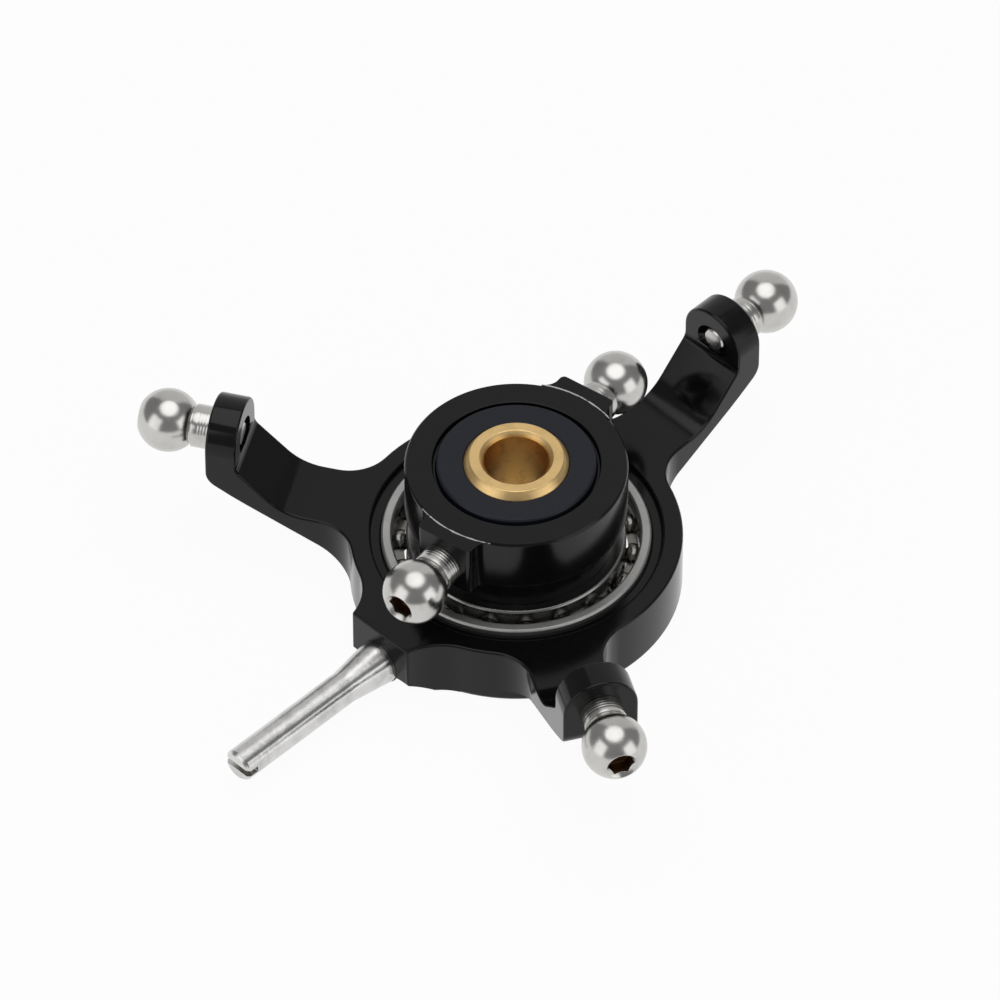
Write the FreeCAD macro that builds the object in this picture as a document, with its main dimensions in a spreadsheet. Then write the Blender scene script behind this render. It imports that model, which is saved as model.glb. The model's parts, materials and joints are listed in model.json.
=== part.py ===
"""Swashplate of a small radio-controlled helicopter, as a parametric FreeCAD document.

The frame has its origin at the centre of the mast ball, +Z up along the mast.  The anti-rotation pin
points along -Y and the elevator arm along +Y.  The hub with its two studs, the bearing cage and the
mast ball move against the stationary ring.
"""
import FreeCAD
import Part
import math
import os
import Sketcher
from FreeCAD import Placement, Rotation, Vector

os.makedirs("parts", exist_ok=True)

# Driving dimensions in millimetres and degrees.  Depths are measured down from the mast-ball centre.
SIZES = {
    # mast ball
    "mast_bore_diameter": 5.0,
    "mast_ball_diameter": 9.8,
    "mast_ball_height": 6.54,
    "mast_bore_chamfer": 0.38,
    # split seat round the mast ball
    "seat_play": 0.05,
    "seat_diameter": 12.4,
    "seat_top_height": 2.72,
    "seat_bottom_depth": 3.1,
    "seat_chamfer": 0.15,
    "seat_fit": 0.01,
    # rotating hub
    "hub_top_height": 2.55,
    "hub_flange_diameter": 17.3,
    "hub_flange_depth": 2.1,
    "hub_neck_diameter": 15.4,
    "hub_lower_bore_diameter": 10.8,
    "hub_relief_width": 0.3,
    "hub_relief_depth": 0.45,
    "hub_end_depth": 10.1,
    "hub_end_chamfer": 0.3,
    "hub_edge_chamfer": 0.15,
    "rotor_boss_width": 4.9,
    "rotor_boss_fillet": 1.2,
    "rotor_boss_corner": 0.4,
    "rotor_stud_turn": 9.6,
    # ball studs
    "link_ball_diameter": 5.0,
    "link_rim_diameter": 2.44,
    "link_socket_width": 1.8,
    "link_socket_depth": 1.3,
    "stud_seat_height": 3.7,
    "stud_collar_diameter": 3.4,
    "stud_collar_length": 1.45,
    "stud_neck_diameter": 2.7,
    "stud_thread_diameter": 2.0,
    "servo_thread_length": 2.3,
    "rotor_thread_length": 3.0,
    "thread_fit": 0.01,
    "servo_ball_radius": 27.9,
    "rotor_ball_radius": 13.5,
    # ball bearing between hub and ring
    "bearing_bore_diameter": 15.0,
    "bearing_outside_diameter": 21.0,
    "bearing_width": 4.0,
    "bearing_top_depth": 5.12,
    "bearing_ball_diameter": 1.588,
    "bearing_pitch_diameter": 18.2,
    "bearing_race_gap": 1.1,
    "bearing_ball_play": 0.03,
    "bearing_chamfer": 0.15,
    "bearing_fit": 0.01,
    "bearing_ball_count": 18,
    # ribbon cage
    "cage_width": 0.8,
    "cage_thickness": 0.15,
    "cage_pocket_play": 0.05,
    # snap ring under the inner race
    "snap_ring_thickness": 0.4,
    "snap_ring_width": 1.1,
    "snap_groove_depth": 0.4,
    "snap_ring_opening": 24.0,
    # stationary ring
    "ring_diameter": 25.9,
    "ring_top_depth": 5.1,
    "ring_height": 5.4,
    "ring_recess_diameter": 22.8,
    "ring_recess_depth": 0.5,
    "ring_lip_diameter": 19.2,
    "ring_lip_chamfer": 0.6,
    "ring_chamfer": 0.3,
    # arms with upright ears
    "arm_width": 5.9,
    "arm_side_fillet": 3.5,
    "arm_sweep_radius": 4.0,
    "arm_sweep_angle": 45.0,
    "arm_underside_depth": 8.9,
    "ear_toe_depth": 3.0,
    "arm_toe_radius": 1.5,
    "ear_thickness": 2.45,
    "ear_root_depth": 1.28,
    "ear_root_fillet": 1.0,
    "ear_countersink_diameter": 3.0,
    "ear_countersink_depth": 0.45,
    # anti-rotation pin and its boss
    "pin_diameter": 2.65,
    "pin_root_diameter": 3.7,
    "pin_taper_length": 3.9,
    "pin_reach": 30.4,
    "pin_axis_depth": 8.3,
    "pin_tip_chamfer": 0.25,
    "pin_slot_width": 0.6,
    "pin_slot_depth": 1.0,
    "pin_thread_diameter": 2.4,
    "pin_thread_length": 3.3,
    "pin_boss_width": 5.8,
    "pin_boss_reach": 15.0,
    "pin_boss_fillet": 4.8,
    "pin_boss_end_depth": 8.9,
    "pin_boss_root_depth": 10.2,
    "pin_boss_belly_diameter": 3.8,
    # how far a cutting outline stands clear of what it cuts
    "cutter_margin": 1.0,
}

# Radii, depths and tangent points that follow from the driving dimensions.
LAYOUT = {
    "mast_bore_radius": "Sizes.mast_bore_diameter / 2",
    "mast_ball_radius": "Sizes.mast_ball_diameter / 2",
    "mast_ball_top": "Sizes.mast_ball_height / 2",
    "mast_chamfer_radius": "Layout.mast_bore_radius + Sizes.mast_bore_chamfer",
    "mast_chamfer_height": "Layout.mast_ball_top - Sizes.mast_bore_chamfer",
    "mast_rim_radius": "sqrt(Layout.mast_ball_radius ^ 2 - Layout.mast_ball_top ^ 2)",
    "seat_sphere_radius": "Layout.mast_ball_radius + Sizes.seat_play",
    "seat_radius": "Sizes.seat_diameter / 2",
    "seat_mouth_radius": "sqrt(Layout.seat_sphere_radius ^ 2 - Sizes.seat_top_height ^ 2)",
    "seat_throat_radius": "sqrt(Layout.seat_sphere_radius ^ 2 - Sizes.seat_bottom_depth ^ 2)",
    "seat_face_radius": "Layout.seat_radius - Sizes.seat_chamfer",
    "seat_edge_height": "Sizes.seat_top_height - Sizes.seat_chamfer",
    "seat_edge_depth": "Sizes.seat_bottom_depth - Sizes.seat_chamfer",
    "hub_seat_radius": "Layout.seat_radius + Sizes.seat_fit",
    "hub_relief_radius": "Layout.hub_seat_radius + Sizes.hub_relief_width",
    "hub_relief_floor": "Sizes.hub_top_height - Sizes.hub_relief_depth",
    "hub_flange_radius": "Sizes.hub_flange_diameter / 2",
    "hub_face_radius": "Layout.hub_flange_radius - Sizes.hub_edge_chamfer",
    "hub_edge_height": "Sizes.hub_top_height - Sizes.hub_edge_chamfer",
    "hub_neck_radius": "Sizes.hub_neck_diameter / 2",
    "hub_spigot_radius": "Layout.race_bore_radius - Sizes.bearing_fit",
    "hub_lower_bore_radius": "Sizes.hub_lower_bore_diameter / 2",
    "hub_end_radius": "Layout.hub_spigot_radius - Sizes.hub_end_chamfer",
    "hub_end_edge_depth": "Sizes.hub_end_depth - Sizes.hub_end_chamfer",
    "hub_flange_height": "Sizes.hub_top_height + Sizes.hub_flange_depth",
    "hub_boss_half_width": "Sizes.rotor_boss_width / 2",
    "hub_boss_reach": "Sizes.rotor_ball_radius - Sizes.stud_seat_height",
    "hub_boss_corner_x": "Layout.hub_boss_half_width - Sizes.rotor_boss_corner",
    "hub_boss_corner_y": "Layout.hub_boss_reach - Sizes.rotor_boss_corner",
    "race_bore_radius": "Sizes.bearing_bore_diameter / 2",
    "race_outside_radius": "Sizes.bearing_outside_diameter / 2",
    "race_pitch_radius": "Sizes.bearing_pitch_diameter / 2",
    "race_inner_shoulder": "Layout.race_pitch_radius - Sizes.bearing_race_gap / 2",
    "race_outer_shoulder": "Layout.race_pitch_radius + Sizes.bearing_race_gap / 2",
    "race_bottom_depth": "Sizes.bearing_top_depth + Sizes.bearing_width",
    "race_middle_depth": "Sizes.bearing_top_depth + Sizes.bearing_width / 2",
    "race_upper_edge": "Sizes.bearing_top_depth + Sizes.bearing_chamfer",
    "race_lower_edge": "Layout.race_bottom_depth - Sizes.bearing_chamfer",
    "race_bore_edge": "Layout.race_bore_radius + Sizes.bearing_chamfer",
    "race_inner_edge": "Layout.race_inner_shoulder - Sizes.bearing_chamfer",
    "race_outer_edge": "Layout.race_outer_shoulder + Sizes.bearing_chamfer",
    "race_outside_edge": "Layout.race_outside_radius - Sizes.bearing_chamfer",
    "ball_radius": "Sizes.bearing_ball_diameter / 2",
    "groove_radius": "Layout.ball_radius + Sizes.bearing_ball_play",
    "groove_half_height": "sqrt(Layout.groove_radius ^ 2 - (Sizes.bearing_race_gap / 2) ^ 2)",
    "groove_upper_depth": "Layout.race_middle_depth - Layout.groove_half_height",
    "groove_lower_depth": "Layout.race_middle_depth + Layout.groove_half_height",
    "cage_inner_radius": "Layout.race_pitch_radius - Sizes.cage_width / 2",
    "cage_outer_radius": "Layout.race_pitch_radius + Sizes.cage_width / 2",
    "cage_pocket_radius": "Layout.ball_radius + Sizes.cage_pocket_play",
    "cage_dome_radius": "Layout.cage_pocket_radius + Sizes.cage_thickness",
    "cage_clip_inner": "Layout.cage_inner_radius - Sizes.cutter_margin",
    "cage_clip_outer": "Layout.cage_outer_radius + Sizes.cutter_margin",
    "cage_clip_height": "Layout.cage_dome_radius + Sizes.cutter_margin",
    "snap_groove_radius": "Layout.hub_spigot_radius - Sizes.snap_groove_depth",
    "snap_outer_radius": "Layout.snap_groove_radius + Sizes.snap_ring_width",
    "snap_bottom_depth": "Layout.race_bottom_depth + Sizes.snap_ring_thickness",
    "ring_radius": "Sizes.ring_diameter / 2",
    "ring_bottom_depth": "Sizes.ring_top_depth + Sizes.ring_height",
    "ring_recess_radius": "Sizes.ring_recess_diameter / 2",
    "ring_recess_floor": "Sizes.ring_top_depth + Sizes.ring_recess_depth",
    "ring_bore_radius": "Layout.race_outside_radius + Sizes.bearing_fit",
    "ring_lip_radius": "Sizes.ring_lip_diameter / 2",
    "ring_lip_edge_radius": "Layout.ring_lip_radius + Sizes.ring_lip_chamfer",
    "ring_lip_edge_depth": "Layout.ring_bottom_depth - Sizes.ring_lip_chamfer",
    "ring_bottom_edge_radius": "Layout.ring_radius - Sizes.ring_chamfer",
    "ring_bottom_edge_depth": "Layout.ring_bottom_depth - Sizes.ring_chamfer",
    "arm_half_width": "Sizes.arm_width / 2",
    "ear_outer": "Sizes.servo_ball_radius - Sizes.stud_seat_height",
    "ear_inner": "Layout.ear_outer - Sizes.ear_thickness",
    "ear_clip_height": "Layout.arm_half_width + Sizes.cutter_margin",
    "arm_clip_reach": "Layout.ear_outer + Sizes.cutter_margin",
    "arm_clip_half_width": "Layout.arm_root_x + Sizes.cutter_margin",
    "arm_clip_depth": "Layout.ring_bottom_depth + Sizes.cutter_margin",
    "sweep_end_depth": "Sizes.ring_top_depth - Sizes.arm_sweep_radius * (1 - cos(Sizes.arm_sweep_angle))",
    "sweep_end": "Layout.ear_inner - (Layout.sweep_end_depth - Sizes.ear_root_depth) / tan(Sizes.arm_sweep_angle)",
    "sweep_start": "Layout.sweep_end - Sizes.arm_sweep_radius * sin(Sizes.arm_sweep_angle)",
    "ear_fillet_reach": "Sizes.ear_root_fillet * tan(45 - Sizes.arm_sweep_angle / 2)",
    "ear_fillet_top": "Sizes.ear_root_depth - Layout.ear_fillet_reach",
    "ear_fillet_start": "Layout.ear_inner - Layout.ear_fillet_reach * cos(Sizes.arm_sweep_angle)",
    "ear_fillet_depth": "Sizes.ear_root_depth + Layout.ear_fillet_reach * sin(Sizes.arm_sweep_angle)",
    "arm_underside_slope": "(Sizes.arm_underside_depth - Sizes.ear_toe_depth)"
                           " / (Layout.ear_outer - Layout.ring_radius)",
    "arm_underside_stretch": "sqrt(1 + Layout.arm_underside_slope ^ 2)",
    "toe_reach": "Sizes.arm_toe_radius / (Layout.arm_underside_stretch + Layout.arm_underside_slope)",
    "toe_top_depth": "Sizes.ear_toe_depth - Layout.toe_reach",
    "toe_end": "Layout.ear_outer - Layout.toe_reach / Layout.arm_underside_stretch",
    "toe_end_depth": "Sizes.ear_toe_depth"
                     " + Layout.toe_reach * Layout.arm_underside_slope / Layout.arm_underside_stretch",
    "arm_start_depth": "Sizes.arm_underside_depth + (Layout.ring_radius - Layout.ring_recess_radius)"
                       " * Layout.arm_underside_slope",
    "stud_hole_radius": "Sizes.stud_thread_diameter / 2 + Sizes.thread_fit",
    "ear_countersink_radius": "Sizes.ear_countersink_diameter / 2",
    "rotor_hole_start": "Layout.hub_boss_reach - Sizes.rotor_thread_length - Sizes.rotor_boss_corner",
    "rotor_hole_length": "Layout.hub_boss_reach + Sizes.cutter_margin - Layout.rotor_hole_start",
    "link_ball_radius": "Sizes.link_ball_diameter / 2",
    "link_rim_radius": "Sizes.link_rim_diameter / 2",
    "link_pole": "sqrt(Layout.link_ball_radius ^ 2 - Layout.link_rim_radius ^ 2)",
    "stud_neck_radius": "Sizes.stud_neck_diameter / 2",
    "stud_neck_end": "sqrt(Layout.link_ball_radius ^ 2 - Layout.stud_neck_radius ^ 2)",
    "stud_collar_radius": "Sizes.stud_collar_diameter / 2",
    "stud_collar_end": "Sizes.stud_seat_height - Sizes.stud_collar_length",
    "stud_thread_radius": "Sizes.stud_thread_diameter / 2",
    "servo_thread_end": "Sizes.stud_seat_height + Sizes.servo_thread_length",
    "rotor_thread_end": "Sizes.stud_seat_height + Sizes.rotor_thread_length",
    "socket_corner": "Sizes.link_socket_width / sqrt(3)",
    "socket_corner_x": "Sizes.link_socket_width / 2",
    "socket_corner_y": "Layout.socket_corner / 2",
    "pin_radius": "Sizes.pin_diameter / 2",
    "pin_root_radius": "Sizes.pin_root_diameter / 2",
    "pin_length": "Sizes.pin_reach - Sizes.pin_boss_reach",
    "pin_tip_edge": "Layout.pin_length - Sizes.pin_tip_chamfer",
    "pin_tip_radius": "Layout.pin_radius - Sizes.pin_tip_chamfer",
    "pin_thread_radius": "Sizes.pin_thread_diameter / 2",
    "pin_hole_radius": "Layout.pin_thread_radius + Sizes.thread_fit",
    "pin_hole_start": "Sizes.pin_boss_reach - Sizes.pin_thread_length",
    "pin_hole_length": "Sizes.pin_thread_length + Sizes.cutter_margin",
    "pin_slot_half_width": "Sizes.pin_slot_width / 2",
    "pin_slot_half_length": "Layout.pin_radius + Sizes.cutter_margin",
    "pin_boss_half_width": "Sizes.pin_boss_width / 2",
    "pin_boss_belly_radius": "Sizes.pin_boss_belly_diameter / 2",
    "pin_boss_length": "Sizes.pin_boss_reach - Layout.ring_recess_radius",
    "pin_boss_clip_half_width": "Layout.pin_boss_root_x + Sizes.cutter_margin",
    "pin_boss_clip_reach": "Layout.pin_boss_side + Sizes.pin_boss_reach",
}

# A boss or arm of half width w runs into a round of radius r over a concave fillet f on each side.  The
# fillet leaves the side at height "side" and meets the round at the point (root_x, root_y).
FLARES = {
    "hub_boss": ("Layout.hub_boss_half_width", "Layout.hub_flange_radius", "Sizes.rotor_boss_fillet"),
    "arm": ("Layout.arm_half_width", "Layout.ring_radius", "Sizes.arm_side_fillet"),
    "pin_boss": ("Layout.pin_boss_half_width", "Layout.ring_radius", "Sizes.pin_boss_fillet"),
}

ARM_AZIMUTHS = {"elevator": 90, "left_servo": 210, "right_servo": 330}
PIN_AZIMUTH = 270

doc = FreeCAD.newDocument("Swashplate")
sizes = doc.addObject("Spreadsheet::Sheet", "Sizes")
layout = doc.addObject("App::VarSet", "Layout")
parts = []


def fill_sheet():
    """Write each driving dimension as a plain number with its name as the alias."""
    for row, (name, number) in enumerate(SIZES.items(), start=1):
        sizes.set("A%d" % row, name)
        sizes.set("B%d" % row, str(number))
        sizes.setAlias("B%d" % row, name)
    doc.recompute()


def fill_layout():
    """Add the derived values, each bound to the sheet by its expression."""
    values = dict(LAYOUT)
    for prefix, (width, base, fillet) in FLARES.items():
        side = "sqrt((%s + %s) ^ 2 - (%s + %s) ^ 2)" % (base, fillet, width, fillet)
        values[prefix + "_side"] = side
        values[prefix + "_root_x"] = "(%s + %s) * %s / (%s + %s)" % (width, fillet, base, base, fillet)
        values[prefix + "_root_y"] = "Layout.%s_side * %s / (%s + %s)" % (prefix, base, base, fillet)
    for name in values:
        layout.addProperty("App::PropertyFloat", name, "Layout")
    for name, expression in values.items():
        layout.setExpression(name, expression)
    doc.recompute()


def bound(name):
    """The expression that reads a value; a leading minus sign turns it round."""
    sign = "-" if name.startswith("-") else ""
    plain = name.lstrip("-")
    return sign + ("Sizes." if plain in SIZES else "Layout.") + plain


def number(name):
    """The present number behind a value's name."""
    if name == "0":
        return 0.0
    plain = name.lstrip("-")
    found = float(sizes.get(plain)) if plain in SIZES else float(getattr(layout, plain))
    return -found if name.startswith("-") else found


def arc_between(start, end, radius, turn):
    """Arc from start to end; turn is +1 for an anticlockwise path and -1 for a clockwise one."""
    chord = end - start
    rise = math.sqrt(max(radius ** 2 - (chord.Length / 2) ** 2, 0.0))
    left = Vector(-chord.y, chord.x, 0).normalize()
    centre = (start + end) * 0.5 + left * rise * turn
    circle = Part.Circle(centre, Vector(0, 0, 1), radius)
    first, last = (start, end) if turn > 0 else (end, start)
    from_centre = first - centre
    to_centre = last - centre
    begin = math.atan2(from_centre.y, from_centre.x)
    finish = math.atan2(to_centre.y, to_centre.x)
    if finish <= begin:
        finish += 2 * math.pi
    return Part.ArcOfCircle(circle, begin, finish)


def draw(sketch, corners):
    """Closed outline through named corners, each (x, y) or, at the end of an arc, (x, y, radius, turn)."""
    points = [Vector(number(c[0]), number(c[1]), 0) for c in corners]
    ends = []
    for i, corner in enumerate(corners):
        start = points[i - 1]
        if len(corner) == 2:
            sketch.addGeometry(Part.LineSegment(start, points[i]), False)
            ends.append((1, 2))
        else:
            sketch.addGeometry(arc_between(start, points[i], number(corner[2]), corner[3]), False)
            ends.append((1, 2) if corner[3] > 0 else (2, 1))
    for i, corner in enumerate(corners):
        after = (i + 1) % len(corners)
        sketch.addConstraint(Sketcher.Constraint("Coincident", i, ends[i][1], after, ends[after][0]))
        for axis, kind, name in ((-2, "DistanceX", corner[0]), (-1, "DistanceY", corner[1])):
            if name == "0":
                sketch.addConstraint(Sketcher.Constraint("PointOnObject", i, ends[i][1], axis))
                continue
            rule = Sketcher.Constraint(kind, -1, 1, i, ends[i][1], number(name))
            place = sketch.addConstraint(rule)
            sketch.setExpression("Constraints[%d]" % place, bound(name))
        if len(corner) > 2:
            place = sketch.addConstraint(Sketcher.Constraint("Radius", i, number(corner[2])))
            sketch.setExpression("Constraints[%d]" % place, bound(corner[2]))


def body_sketch(body, name, plane, corners, height=None):
    """Sketch on one of the body's origin planes, raised along its normal by a named height."""
    sketch = body.newObject("Sketcher::SketchObject", name)
    origin_plane = [f for f in body.Origin.OriginFeatures if f.Role == plane][0]
    sketch.AttachmentSupport = [(origin_plane, "")]
    sketch.MapMode = "FlatFace"
    if height:
        sketch.setExpression("AttachmentOffset.Base.z", bound(height))
    draw(sketch, corners)
    return sketch


def body_circle(body, name, plane, radius, height):
    """Circle round the origin of one of the body's planes, raised along its normal."""
    sketch = body_sketch(body, name, plane, [], height)
    sketch.addGeometry(Part.Circle(Vector(0, 0, 0), Vector(0, 0, 1), number(radius)), False)
    sketch.addConstraint(Sketcher.Constraint("Coincident", 0, 3, -1, 1))
    place = sketch.addConstraint(Sketcher.Constraint("Radius", 0, number(radius)))
    sketch.setExpression("Constraints[%d]" % place, bound(radius))
    return sketch


def new_body(label):
    body = doc.addObject("PartDesign::Body", label)
    body.Label = label
    return body


def turned(label, corners, lying=False):
    """Body turned about Z from (radius, height) corners, or lying along X from (length, radius)."""
    body = new_body(label)
    plane, axis = ("XY_Plane", "H_Axis") if lying else ("XZ_Plane", "V_Axis")
    sketch = body_sketch(body, label + "_profile", plane, corners)
    turning = body.newObject("PartDesign::Revolution", label + "_turning")
    turning.Profile = sketch
    turning.ReferenceAxis = (sketch, [axis])
    turning.Angle = 360
    body.Tip = turning
    return body, turning


def pocket(body, sketch, depth):
    """Cut a sketch into the solid, against the sketch's normal, to a named depth."""
    cut = body.newObject("PartDesign::Pocket", sketch.Name + "_cut")
    cut.Profile = sketch
    cut.Type = 0
    cut.setExpression("Length", bound(depth))
    body.Tip = cut
    return cut


def polar(body, features, name, count):
    """Repeat features evenly about the body's Z axis."""
    pattern = body.newObject("PartDesign::PolarPattern", name)
    pattern.Originals = features
    z_axis = [f for f in body.Origin.OriginFeatures if f.Role == "Z_Axis"][0]
    pattern.Axis = (z_axis, [""])
    pattern.Angle = 360
    pattern.Occurrences = count
    body.Tip = pattern
    return pattern


def keep(part, label):
    """Give the finished sub-part its own label and list it for export."""
    part.Label = label
    parts.append(part)
    return part


def place_round(part, azimuth, radius, depth=None):
    """Stand a lying part at a radius, pointing outwards at an azimuth expression in degrees."""
    part.Placement = Placement(Vector(0, 0, 0), Rotation(Vector(0, 0, 1), 1))
    part.setExpression("Placement.Rotation.Angle", azimuth)
    part.setExpression("Placement.Base.x", "%s * cos(%s)" % (bound(radius), azimuth))
    part.setExpression("Placement.Base.y", "%s * sin(%s)" % (bound(radius), azimuth))
    if depth:
        part.setExpression("Placement.Base.z", bound("-" + depth))


def mast_ball():
    """Brass ball with flat ends, bored for the mast."""
    body, _ = turned("mast_ball", [
        ("mast_chamfer_radius", "-mast_ball_top"),
        ("mast_rim_radius", "-mast_ball_top"),
        ("mast_rim_radius", "mast_ball_top", "mast_ball_radius", 1),
        ("mast_chamfer_radius", "mast_ball_top"),
        ("mast_bore_radius", "mast_chamfer_height"),
        ("mast_bore_radius", "-mast_chamfer_height"),
    ])
    keep(body, "mast_ball")


def ball_seat(label, face, edge, mouth, turn):
    """One half of the seat, from its split face at the equator to its outer face."""
    body, _ = turned(label, [
        ("seat_sphere_radius", "0", "seat_sphere_radius", turn),
        ("seat_radius", "0"),
        ("seat_radius", edge),
        ("seat_face_radius", face),
        (mouth, face),
    ])
    keep(body, label)


def rotor_hub():
    """Hub that turns with the rotor: flange with two stud bosses, neck, and spigot for the bearing."""
    body, _ = turned("rotor_hub", [
        ("hub_relief_radius", "hub_top_height"),
        ("hub_face_radius", "hub_top_height"),
        ("hub_flange_radius", "hub_edge_height"),
        ("hub_flange_radius", "-hub_flange_depth"),
        ("hub_neck_radius", "-hub_flange_depth"),
        ("hub_neck_radius", "-bearing_top_depth"),
        ("hub_spigot_radius", "-bearing_top_depth"),
        ("hub_spigot_radius", "-race_bottom_depth"),
        ("snap_groove_radius", "-race_bottom_depth"),
        ("snap_groove_radius", "-snap_bottom_depth"),
        ("hub_spigot_radius", "-snap_bottom_depth"),
        ("hub_spigot_radius", "-hub_end_edge_depth"),
        ("hub_end_radius", "-hub_end_depth"),
        ("hub_lower_bore_radius", "-hub_end_depth"),
        ("hub_lower_bore_radius", "-seat_bottom_depth"),
        ("hub_seat_radius", "-seat_bottom_depth"),
        ("hub_seat_radius", "hub_relief_floor"),
        ("hub_relief_radius", "hub_relief_floor"),
    ])
    outline = body_sketch(body, "rotor_boss_outline", "XY_Plane", [
        ("-hub_boss_root_x", "hub_boss_root_y", "rotor_boss_fillet", -1),
        ("hub_boss_root_x", "hub_boss_root_y"),
        ("hub_boss_half_width", "hub_boss_side", "rotor_boss_fillet", -1),
        ("hub_boss_half_width", "hub_boss_corner_y"),
        ("hub_boss_corner_x", "hub_boss_reach", "rotor_boss_corner", 1),
        ("-hub_boss_corner_x", "hub_boss_reach"),
        ("-hub_boss_half_width", "hub_boss_corner_y", "rotor_boss_corner", 1),
        ("-hub_boss_half_width", "hub_boss_side"),
    ], height="-hub_flange_depth")
    boss = body.newObject("PartDesign::Pad", "rotor_boss")
    boss.Profile = outline
    boss.setExpression("Length", bound("hub_flange_height"))
    drill = body_circle(body, "rotor_stud_drill", "XZ_Plane", "stud_hole_radius", "-rotor_hole_start")
    hole = pocket(body, drill, "rotor_hole_length")
    polar(body, [boss, hole], "rotor_boss_pair", 2)
    body.setExpression("Placement.Rotation.Angle", bound("rotor_stud_turn"))
    keep(body, "rotor_hub")


def link_ball(label, thread_end, azimuth, ball_radius):
    """Ball stud along +X from its ball's centre, with a hex socket in the pole, stood at an azimuth."""
    body, _ = turned(label, [
        ("-" + thread_end, "0"),
        ("-" + thread_end, "stud_thread_radius"),
        ("-stud_seat_height", "stud_thread_radius"),
        ("-stud_seat_height", "stud_collar_radius"),
        ("-stud_collar_end", "stud_collar_radius"),
        ("-stud_collar_end", "stud_neck_radius"),
        ("-stud_neck_end", "stud_neck_radius"),
        ("link_pole", "link_rim_radius", "link_ball_radius", -1),
        ("link_pole", "0"),
    ], lying=True)
    socket = body_sketch(body, label + "_socket", "YZ_Plane", [
        ("0", "socket_corner"),
        ("-socket_corner_x", "socket_corner_y"),
        ("-socket_corner_x", "-socket_corner_y"),
        ("0", "-socket_corner"),
        ("socket_corner_x", "-socket_corner_y"),
        ("socket_corner_x", "socket_corner_y"),
    ], height="link_pole")
    pocket(body, socket, "link_socket_depth")
    place_round(body, azimuth, ball_radius)
    keep(body, label)


def bearing_races():
    """Inner and outer race, each with a groove round the pitch circle at mid height."""
    outer, _ = turned("bearing_outer_race", [
        ("race_outer_shoulder", "-race_upper_edge"),
        ("race_outer_shoulder", "-groove_upper_depth"),
        ("race_outer_shoulder", "-groove_lower_depth", "groove_radius", -1),
        ("race_outer_shoulder", "-race_lower_edge"),
        ("race_outer_edge", "-race_bottom_depth"),
        ("race_outside_edge", "-race_bottom_depth"),
        ("race_outside_radius", "-race_lower_edge"),
        ("race_outside_radius", "-race_upper_edge"),
        ("race_outside_edge", "-bearing_top_depth"),
        ("race_outer_edge", "-bearing_top_depth"),
    ])
    keep(outer, "bearing_outer_race")
    inner, _ = turned("bearing_inner_race", [
        ("race_inner_shoulder", "-race_upper_edge"),
        ("race_inner_shoulder", "-groove_upper_depth"),
        ("race_inner_shoulder", "-groove_lower_depth", "groove_radius", 1),
        ("race_inner_shoulder", "-race_lower_edge"),
        ("race_inner_edge", "-race_bottom_depth"),
        ("race_bore_edge", "-race_bottom_depth"),
        ("race_bore_radius", "-race_lower_edge"),
        ("race_bore_radius", "-race_upper_edge"),
        ("race_bore_edge", "-bearing_top_depth"),
        ("race_inner_edge", "-bearing_top_depth"),
    ])
    keep(inner, "bearing_inner_race")


def bearing_balls(count):
    """Evenly spaced bearing balls on the pitch circle."""
    for i in range(count):
        ball = doc.addObject("Part::Sphere", "bearing_ball_%02d" % (i + 1))
        ball.setExpression("Radius", bound("ball_radius"))
        place_round(ball, "%d * 360 / %d" % (i, count), "race_pitch_radius", "race_middle_depth")
        keep(ball, "bearing_ball_%02d" % (i + 1))


def cage_half(label, count, over):
    """Ribbon cage half: flat lands on the mid plane with a domed pocket over each ball.

    The half is made as the upper one about its own mid plane; the lower one is the same part turned over.
    """
    body, lands = turned(label, [
        ("cage_inner_radius", "0"),
        ("cage_outer_radius", "0"),
        ("cage_outer_radius", "cage_thickness"),
        ("cage_inner_radius", "cage_thickness"),
    ])
    dome = body.newObject("PartDesign::AdditiveSphere", label + "_dome")
    dome.Placement = Placement(Vector(number("race_pitch_radius"), 0, 0), Rotation())
    dome.setExpression("Placement.Base.x", bound("race_pitch_radius"))
    dome.setExpression("Radius", bound("cage_dome_radius"))
    polar(body, [dome], label + "_domes", count)
    space = body.newObject("PartDesign::SubtractiveSphere", label + "_pocket")
    space.Placement = Placement(Vector(number("race_pitch_radius"), 0, 0), Rotation())
    space.setExpression("Placement.Base.x", bound("race_pitch_radius"))
    space.setExpression("Radius", bound("cage_pocket_radius"))
    polar(body, [space], label + "_pockets", count)
    clip = body_sketch(body, label + "_clip", "XZ_Plane", [
        ("cage_inner_radius", "0"),
        ("cage_inner_radius", "cage_clip_height"),
        ("cage_clip_inner", "cage_clip_height"),
        ("cage_clip_inner", "-cage_clip_height"),
        ("cage_clip_outer", "-cage_clip_height"),
        ("cage_clip_outer", "cage_clip_height"),
        ("cage_outer_radius", "cage_clip_height"),
        ("cage_outer_radius", "0"),
    ])
    trim = body.newObject("PartDesign::Groove", label + "_trim")
    trim.Profile = clip
    trim.ReferenceAxis = (clip, ["V_Axis"])
    trim.Angle = 360
    body.Tip = trim
    body.Placement = Placement(Vector(0, 0, 0), Rotation(Vector(1, 0, 0), over))
    body.setExpression("Placement.Base.z", bound("-race_middle_depth"))
    keep(body, label)


def snap_ring():
    """Open spring ring in the hub's groove, under the inner race."""
    body, turning = turned("hub_snap_ring", [
        ("snap_groove_radius", "-race_bottom_depth"),
        ("snap_outer_radius", "-race_bottom_depth"),
        ("snap_outer_radius", "-snap_bottom_depth"),
        ("snap_groove_radius", "-snap_bottom_depth"),
    ])
    turning.setExpression("Angle", "360 - Sizes.snap_ring_opening")
    body.Placement = Placement(Vector(0, 0, 0), Rotation(Vector(0, 0, 1), 90))
    keep(body, "hub_snap_ring")


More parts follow.
